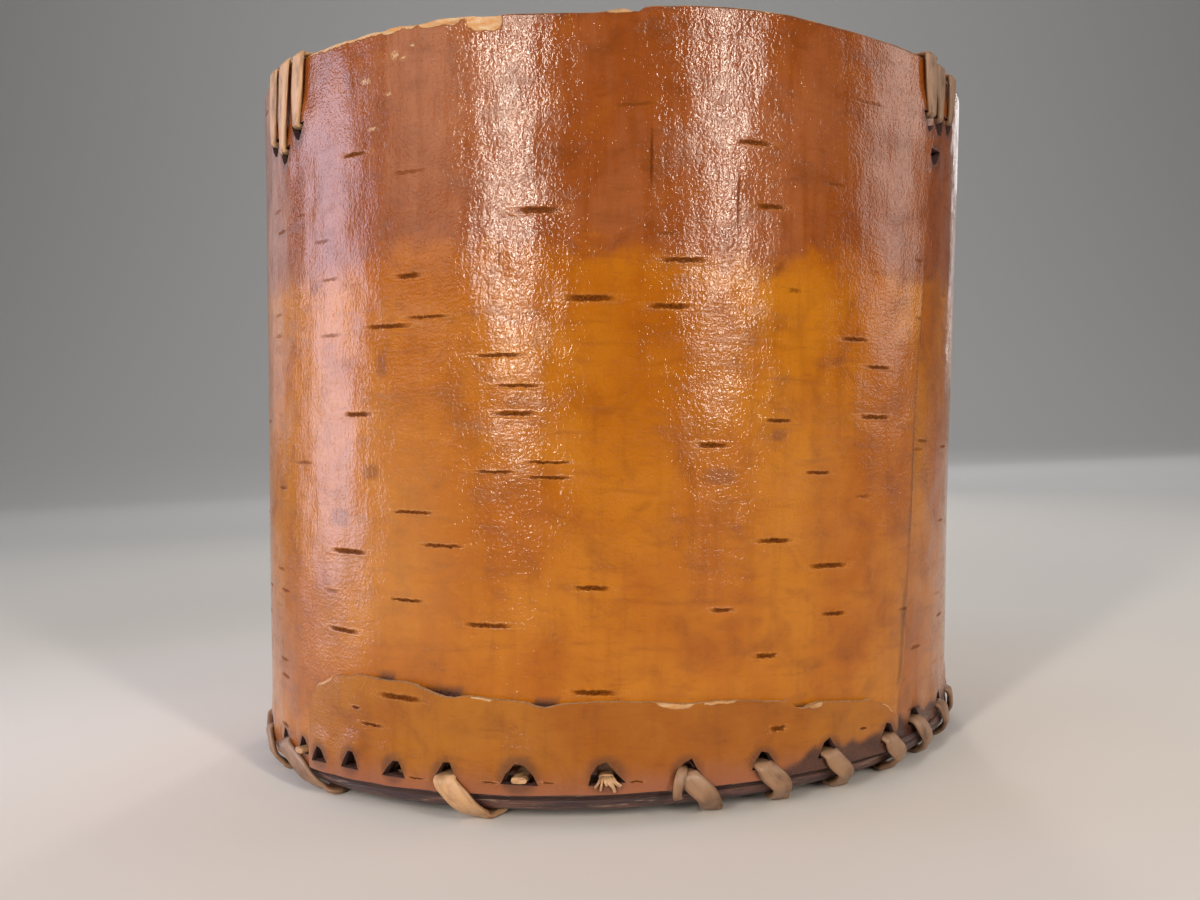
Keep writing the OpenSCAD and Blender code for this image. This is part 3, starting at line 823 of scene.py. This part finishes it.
base = {"sides": 180, "edge": 0.35, "holeFrom": -2, "holeTo": 4}
baseR = liningInR(0) - basket["baseGap"]
deselect()
bpy.ops.mesh.primitive_circle_add(vertices=base["sides"], radius=baseR * 0.001, fill_type="NGON",
                                  location=(footX * 0.001, 0, (footZ + basket["baseT"]) * 0.001))
baseDisc = added("baseDisc")
bpy.ops.object.transform_apply(location=True)
edit()
bpy.ops.mesh.extrude_region_move(TRANSFORM_OT_translate={"value": (0, 0, -basket["baseT"] * 0.001)})
bpy.ops.mesh.select_all(action="SELECT")
bpy.ops.mesh.normals_make_consistent(inside=False)
endEdit()
dress(baseDisc, "base_bark", insideBark, insideBark, barkEdge)
finishWith(baseDisc, "BEVEL", width=base["edge"] * 0.001, segments=2, limit_method="ANGLE")


def baseCutter():  # three-cornered holes where the lacing comes up
    points, faces = [], []
    half, rise = basket["strapW"] / 2 + lacing["holeRoom"], basket["strapT"] + lacing["holeRise"]
    for i, az in enumerate(stations):
        upAz = az + lacing["upShare"] * stepAfter(i)
        r = hoopC(az) - hoopOff + strapOff
        first = len(points)
        for z in (footZ + base["holeFrom"], footZ + base["holeTo"]):
            points += [footPoint(r, upAz, z, -half), footPoint(r, upAz, z, half), footPoint(r - rise, upAz, z)]
        for ring in ([2, 1, 0], [3, 4, 5], [0, 1, 4, 3], [1, 2, 5, 4], [2, 0, 3, 5]):
            faces.append([first + k for k in ring])
    return block("baseAwl", points, faces)


baseAwl = baseCutter()
cut(baseDisc, baseAwl)
soften(baseDisc, 35)
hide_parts("base_disc")
print("basket: base disc cut")


# hoop: a withy of D section, spun round under the walls

hoop = {"sides": 28, "steps": 240, "stray": 0.28, "strayScale": (60, 60, 220)}
hoopAway = footPoint(lapStep / 2, basket["seamAz"], 0)
deselect()
bpy.ops.mesh.primitive_circle_add(vertices=hoop["sides"], radius=basket["hoopW"] / 2 * 0.001, calc_uvs=False,
                                  location=(hoopAway.x + hoopR * 0.001, hoopAway.y, hoopMidZ * 0.001),
                                  rotation=(math.pi / 2, 0, 0))
footHoop = added("footHoop")
bpy.ops.object.transform_apply(location=True, rotation=True)
edit()
bpy.ops.mesh.bisect(plane_co=(0, 0, footZ * 0.001), plane_no=(0, 0, 1), clear_outer=True)
bpy.ops.mesh.select_all(action="SELECT")
bpy.ops.mesh.edge_face_add()
bpy.ops.mesh.delete(type="ONLY_FACE")
bpy.ops.mesh.select_all(action="SELECT")
bpy.ops.mesh.spin(steps=hoop["steps"], angle=2 * math.pi, center=(hoopAway.x, hoopAway.y, 0), axis=(0, 0, 1))
endEdit()
closeUp(footHoop)
for point in footHoop.data.vertices:  # hand-worked: a little less wood here and there
    out = Vector((point.co.x - hoopAway.x, point.co.y - hoopAway.y, 0))
    core = hoopAway + out.normalized() * hoopR * 0.001 + Vector((0, 0, hoopMidZ * 0.001))
    lost = 0.5 + 0.5 * noise.noise(Vector([place * scale for place, scale in zip(point.co, hoop["strayScale"])]))
    if point.co.z < (footZ - 0.3) * 0.001:
        point.co = core + (point.co - core) * (1 - hoop["stray"] * lost / (basket["hoopW"] / 2))
hoopMap = footHoop.data.uv_layers.new(name="UVMap")
for face in footHoop.data.polygons:
    turns = []
    for index in face.loop_indices:
        spot = footHoop.data.vertices[footHoop.data.loops[index].vertex_index].co
        dx, dy = spot.x - hoopAway.x, spot.y - hoopAway.y
        turn = math.atan2(dx, -dy)
        if turns and turn - turns[0] > math.pi:
            turn -= 2 * math.pi
        if turns and turns[0] - turn > math.pi:
            turn += 2 * math.pi
        turns.append(turn)
        girth = math.atan2(spot.z - hoopMidZ * 0.001, math.hypot(dx, dy) - hoopR * 0.001)
        hoopMap.data[index].uv = (turn * hoopR / mapUnit, (girth % (2 * math.pi)) * basket["hoopW"] / 2 / mapUnit)
dress(footHoop, "withy", withyBark)
soften(footHoop, 45)
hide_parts("foot_hoop")
print("basket: hoop spun")


# split root: flat inside, domed outside, along rings of radius, height, azimuth and tilt

root = {"around": 12, "steps": 5, "girth": 2.2, "apart": 37}  # girth as a share of width, mm between straps on the map


def routeThrough(rings, place, facing):
    mids = [place(r, az, z) for r, z, az, tilt in rings]
    outs = [facing(az, tilt) for r, z, az, tilt in rings]
    last = len(mids) - 1
    line, normals = [], []
    for i in range(last):
        before, here, there, after = mids[max(i - 1, 0)], mids[i], mids[i + 1], mids[min(i + 2, last)]
        for k in range(root["steps"]):
            t = k / root["steps"]
            line.append(0.5 * (2 * here + (there - before) * t + (2 * before - 5 * here + 4 * there - after) * t * t
                               + (3 * here - before - 3 * there + after) * t ** 3))
            normals.append(outs[i].lerp(outs[i + 1], t).normalized())
    return line + [mids[-1]], normals + [outs[-1]]


def rootSection(share, dome):
    a = 2 * math.pi * share
    c, s = math.cos(a), math.sin(a)
    side = math.copysign(abs(c) ** 0.7, c)
    return side, abs(s) ** dome if s > 0 else -abs(s) ** 0.5


def strap(name, rings, width, thick, seed, uneven=0.07, dome=0.55, ends=(0.72, 7.0), place=footPoint, facing=footDir):
    line, normals = routeThrough(rings, place, facing)
    line = [line[0]] + line + [line[-1]]  # the doubled ends close the strap
    normals = [normals[0]] + normals + [normals[-1]]
    last = len(line) - 1
    run, travelled = [0.0], 0.0
    for i in range(last):
        travelled += (line[i + 1] - line[i]).length * 1000
        run.append(travelled)

    def shape(across, up):
        i = round(across * last)
        share = up % 1.0 if up < 0.9999 else 0.0
        along = (line[min(i + 1, last)] - line[max(i - 1, 0)]).normalized()
        out = (normals[i] - along * normals[i].dot(along)).normalized()
        side = along.cross(out)
        bark = (run[i] + seed * root["apart"], up * root["girth"] * width)
        if i in (0, last):
            return line[i], bark
        s, t = rootSection(share, dome)
        wide = width * (1 + uneven * noise.noise(Vector((run[i] / 9, seed * 3.1, s))))
        wide *= ends[0] + (1 - ends[0]) * smooth(0, ends[1], min(run[i], travelled - run[i]))
        spot = line[i] + (side * s * wide / 2 + out * t * thick / 2) * 0.001
        spot.z = max(spot.z, 0.0)
        return spot, bark

    piece = rolled(name, last, root["around"], shape)
    closeUp(piece)
    soften(piece, 60)
    return piece


def roundHoop(c, angle, az, ease):
    a = math.radians(angle)
    return (c + hoopOff * math.cos(a) + ease, hoopMidZ + hoopOff * math.sin(a), az, angle)


def stitchRings(az, step):  # out of the hole, down, round the hoop and up through the base
    thick, slant = basket["strapT"], lacing["endSlant"] if az == stations[-1] else lacing["slant"]
    face, c = footOutR(az), hoopC(az)
    o = max(face, c + basket["hoopW"] / 2) + strapOff
    low, up = az + slant, az + lacing["upShare"] * step
    return [
        (liningInR(0) - basket["strapW"] / 2, laceZ, az, 90),
        ((liningInR(0) + basket["footR"]) / 2, laceZ, az, 90),
        (face - basket["strapGap"], laceZ, az, 80),
        (face + strapOff * 0.8, laceZ - thick * 0.2, az + slant * 0.03, 45),
        (o, laceZ - thick * 1.2, az + slant * 0.15, 5),
        (o, footZ - basket["strapW"] / 4, az + slant * 0.55, 0),
        roundHoop(c, -30, az + slant * 0.75, (o - c - hoopOff) / 2),
        roundHoop(c, -60, az + slant * 0.9, 0),
        (c + lacing["flat"] / 2, thick / 2, low, -90),
        (c - lacing["flat"] / 2, thick / 2, low + (up - low) * 0.2, -90),
        roundHoop(c, -130, low + (up - low) * 0.6, 0),
        roundHoop(c, -155, low + (up - low) * 0.8, 0),
        (c - hoopOff, hoopMidZ, up, 180),
        (c - hoopOff, awlZ - basket["strapGap"], up, 180),
    ]


def turnOut(az, step):
    r, up, thick = hoopC(az) - hoopOff, az + lacing["upShare"] * step, basket["strapT"]
    return [(r + thick * 0.35, laceZ - thick * 0.25, up, 135), (r + thick * 1.5, laceZ, up + step * 0.06, 90)]


def tailIn(az, step):
    r, up, thick = hoopC(az) - hoopOff, az + lacing["upShare"] * step, basket["strapT"]
    return [(r - thick * 0.35, laceZ - thick * 0.25, up, 45), (r - thick * 1.5, laceZ, up, 90),
            (r - lacing["tail"], laceZ, up, 90)]


def lacingRings(first, count):
    rings = [(liningInR(0) - lacing["tail"], laceZ, stations[first], 90)]
    for i in range(first, first + count):
        rings += stitchRings(stations[i], stepAfter(i))
        if i < first + count - 1:
            rings += turnOut(stations[i], stepAfter(i))
    last = first + count - 1
    return rings + tailIn(stations[last], stepAfter(last))


def joinTo(piece, extras):
    pick(piece)
    for extra in extras:
        extra.select_set(True)
    bpy.ops.object.join()


def knot(az):  # the end of the root, tucked over the strap beside its hole
    face = footOutR(az)
    loop = [(face - 1.5, laceZ + 0.8, az - 0.2, 60), (face + 0.9, laceZ + 0.9, az - 0.7, 40),
            (face + 1.9, laceZ - 0.6, az - 1.2, 5), (face + 2.0, laceZ - 2.4, az - 1.5, -5),
            (face + 1.2, laceZ - 4.0, az - 1.5, -30), (face + 0.4, laceZ - 4.4, az - 1.2, -60)]
    return strap("knot", loop, 2.3, 1.0, 41, 0.12)


def fibres(az):  # root worn to a few fibres
    dice = random.Random(3)
    face = footOutR(az)
    tufts = []
    for k in range(6):
        off, drop = -1.5 + k * 0.62, dice.uniform(1.0, 2.6)
        rings = [(face - 2.0, laceZ, az + off * 0.3, 90), (face + 0.2, laceZ + 0.1, az + off * 0.5, 70),
                 (face + 0.9, laceZ - drop * 0.4, az + off * 0.7, 20),
                 (face + 0.8, laceZ - drop, az + off + dice.uniform(-0.4, 0.4), -10)]
        tufts.append(strap("fibre%d" % k, rings, dice.uniform(0.6, 1.1), 0.5, 50 + k, 0.2))
    return tufts


runStitches = (len(stations) - lacing["firstLaced"]) // lacing["runs"]
for run in range(lacing["runs"]):
    rings = lacingRings(lacing["firstLaced"] + run * runStitches, runStitches)
    piece = strap("lacingRun%d" % (run + 1), rings, basket["strapW"], basket["strapT"], run + 1, 0.16)
    if run == 0:
        joinTo(piece, [knot(stations[lacing["firstLaced"]])])
    dress(piece, "root", splitRoot)
    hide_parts("lacing_run_%d" % (run + 1))
piece = strap("looseStitch", lacingRings(lacing["loose"], 1), lacing["looseW"], basket["strapT"], 6)
dress(piece, "root", freshRoot)
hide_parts("loose_stitch")
print("basket: foot laced")

for number, index in enumerate(lacing["stumps"]):
    az, worn = stations[index], index == lacing["wornStump"]
    rings = [(liningInR(0) - lacing["tail"] / 2, laceZ, az, 90), ((liningInR(0) + basket["footR"]) / 2, laceZ, az, 90),
             (footOutR(az) + (-1.0 if worn else basket["strapGap"]), laceZ, az, 90)]
    piece = strap("rootStump%d" % (number + 1), rings, basket["strapW"], basket["strapT"], 11 + number, 0.14)
    if worn:
        joinTo(piece, fibres(az))
    dress(piece, "root", freshRoot)
    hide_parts("root_stump_%d" % (number + 1))
print("basket: root ends left in their holes")


# rim ties: out through the hole, up, over the rim and down inside

def tieRings(az, depth, leanAz):
    gap, thick = basket["strapGap"], rimTies["thick"]
    low, off = basket["wallH"] - depth, basket["strapGap"] + rimTies["thick"] / 2
    half, top, endAz = (low + basket["wallH"]) / 2, basket["wallH"] + off, az + leanAz

    def barkR(h):
        return swungR(wallR(h), az) if wrapAz(az - basket["seamAz"]) < 0 else wallR(h)

    holeOut, rimOut = barkR(low), barkR(basket["wallH"])
    holeIn, rimIn = liningInR(low), liningInR(basket["wallH"])
    stray = wave(az, basket["wallH"])
    rings = [
        (holeIn + gap, low, az, -90), (holeOut - gap, low, az, -80),
        (holeOut + off * 0.8, low + thick * 0.2, az, -45), (holeOut + off, low + thick * 1.2, az, -5),
        (rimOut + off, half, (az + endAz) / 2, 0), (rimOut + off, basket["wallH"] - thick * 0.3, endAz, 5),
        (rimOut + off * 0.3, top, endAz, 55), (rimIn - off * 0.3, top, endAz, 125),
        (rimIn - off, basket["wallH"] - thick * 0.3, endAz, 175), (holeIn - off, half, (az + endAz) / 2, 180),
        (holeIn - off, low - rimTies["end"], az, 180),
    ]
    return [(r + stray, z, ringAz, tilt) for r, z, ringAz, tilt in rings]


for side, finish, seed in (("left", freshRoot, 21), ("right", splitRoot, 26)):
    for number, (az, depth, leanAz) in enumerate(rimTies[side]):
        piece = strap("rimTie%s%d" % (side.title(), number + 1), tieRings(az, depth, leanAz),
                      rimTies["width"], rimTies["thick"], seed + number, rimTies["uneven"], rimTies["dome"],
                      rimTies["taper"], bodyPoint, bodyDir)
        dress(piece, "root", finish)
        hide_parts("rim_tie_%s_%d" % (side, number + 1))
print("basket: rim tied")

for tool in (awl, baseAwl):
    bpy.data.objects.remove(tool, do_unlink=True)


# floor, lights and camera

studio = {"floor": colour(0.70, 0.69, 0.68), "floorSize": 6.0, "backdropH": 3.0, "cove": 1.2,
          "world": colour(0.9, 0.92, 0.95), "worldStrength": 0.11}
deselect()
bpy.ops.mesh.primitive_plane_add(size=studio["floorSize"])
floor = added("floor")
edit("DESELECT")
endEdit()
for edge in floor.data.edges:
    edge.select = all(floor.data.vertices[v].co.y > 0 for v in edge.vertices)
bpy.ops.object.mode_set(mode="EDIT")
bpy.ops.mesh.select_mode(type="EDGE")
bpy.ops.mesh.extrude_region_move(TRANSFORM_OT_translate={"value": (0, 0, studio["backdropH"])})
bpy.ops.mesh.select_all(action="SELECT")
bpy.ops.mesh.bevel(offset=studio["cove"], segments=16, affect="EDGES")
endEdit()
soften(floor, 60)
paper, start, shader = newFinish("studioPaper", 0.9, 0.1)
shader.inputs["Base Color"].default_value = studio["floor"]
floor.data.materials.append(paper)

world = bpy.data.worlds.new("studioWorld")
bpy.context.scene.world = world
world.use_nodes = True
sky = world.node_tree.nodes["Background"].inputs
sky["Color"].default_value, sky["Strength"].default_value = studio["world"], studio["worldStrength"]

# soft boxes as azimuth, height of the middle, distance, width, height of the box, watts and tint
warm = (1.0, 0.89, 0.76)
softBoxes = {
    "stripLeft": (-28, 0.45, 1.10, 0.07, 0.64, 1.66, warm),
    "stripRight": (32, 0.45, 1.10, 0.07, 0.64, 1.60, warm),
    "wingLeft": (-28, 0.46, 1.14, 0.20, 0.66, 0.20, warm),
    "wingRight": (32, 0.46, 1.14, 0.20, 0.66, 0.20, warm),
    "fillLeft": (-58, 0.48, 1.05, 0.50, 0.60, 0.48, (1.0, 0.86, 0.72)),
    "sideLeft": (-88, 0.14, 0.39, 0.17, 0.27, 0.19, (0.82, 0.79, 1.0)),
    "sideRight": (91, 0.38, 0.95, 0.36, 0.66, 0.55, (1.0, 0.93, 0.86)),
    "edgeLeft": (-132, 0.40, 1.05, 0.40, 0.62, 0.14, (0.95, 0.92, 1.0)),
    "edgeRight": (150, 0.42, 1.25, 0.04, 0.62, 0.06, (1.0, 0.98, 0.95)),
    "stripBack": (171, 0.50, 1.15, 0.12, 0.60, 0.8, warm),
}
aim = Vector((0, 0, 0.085))


def softBox(name, spot, target, width, tall, watts, tint=(1.0, 1.0, 1.0), spread=180):
    deselect()
    turn = (target - spot).to_track_quat("-Z", "Y").to_euler()
    bpy.ops.object.light_add(type="AREA", location=spot, rotation=turn)
    lamp = bpy.context.object
    lamp.name = name
    lamp.data.shape, lamp.data.size, lamp.data.size_y = "RECTANGLE", width, tall
    lamp.data.energy, lamp.data.color, lamp.data.spread = watts, tint, math.radians(spread)
    lamp.visible_camera = False


for name, (az, height, distance, width, tall, watts, tint) in softBoxes.items():
    a = math.radians(az)
    softBox(name, Vector((distance * math.sin(a), -distance * math.cos(a), height)), aim, width, tall, watts, tint, 90)
softBox("overhead", Vector((-0.2, -0.3, 1.5)), Vector((-0.2, -0.299, 0)), 1.4, 1.4, 2.5)
softBox("backFill", Vector((0.3, 1.7, 0.9)), aim, 1.4, 0.9, 4.0)
softBox("backdropGlow", Vector((0, 1.2, 1.9)), Vector((0, 2.4, 0)), 2.6, 0.8, 14.0)

cameraAt = {"lens": 34.87, "place": (-0.0004, -0.316, 0.0752), "yaw": 0.45, "pitch": -0.53, "roll": 2.69}
turn = Matrix.Identity(3)
for key, axis, rest in (("roll", "Y", 0), ("yaw", "Z", 0), ("pitch", "X", 90)):
    turn = turn @ Matrix.Rotation(math.radians(cameraAt[key] + rest), 3, axis)
deselect()
bpy.ops.object.camera_add(location=cameraAt["place"], rotation=turn.to_euler())
camera = bpy.context.object
camera.data.lens = cameraAt["lens"]
camera.data.sensor_width = 36.0
camera.data.clip_start = 0.01
bpy.context.scene.camera = camera
bpy.context.scene.view_settings.view_transform = "Standard"
print("basket: studio set up")
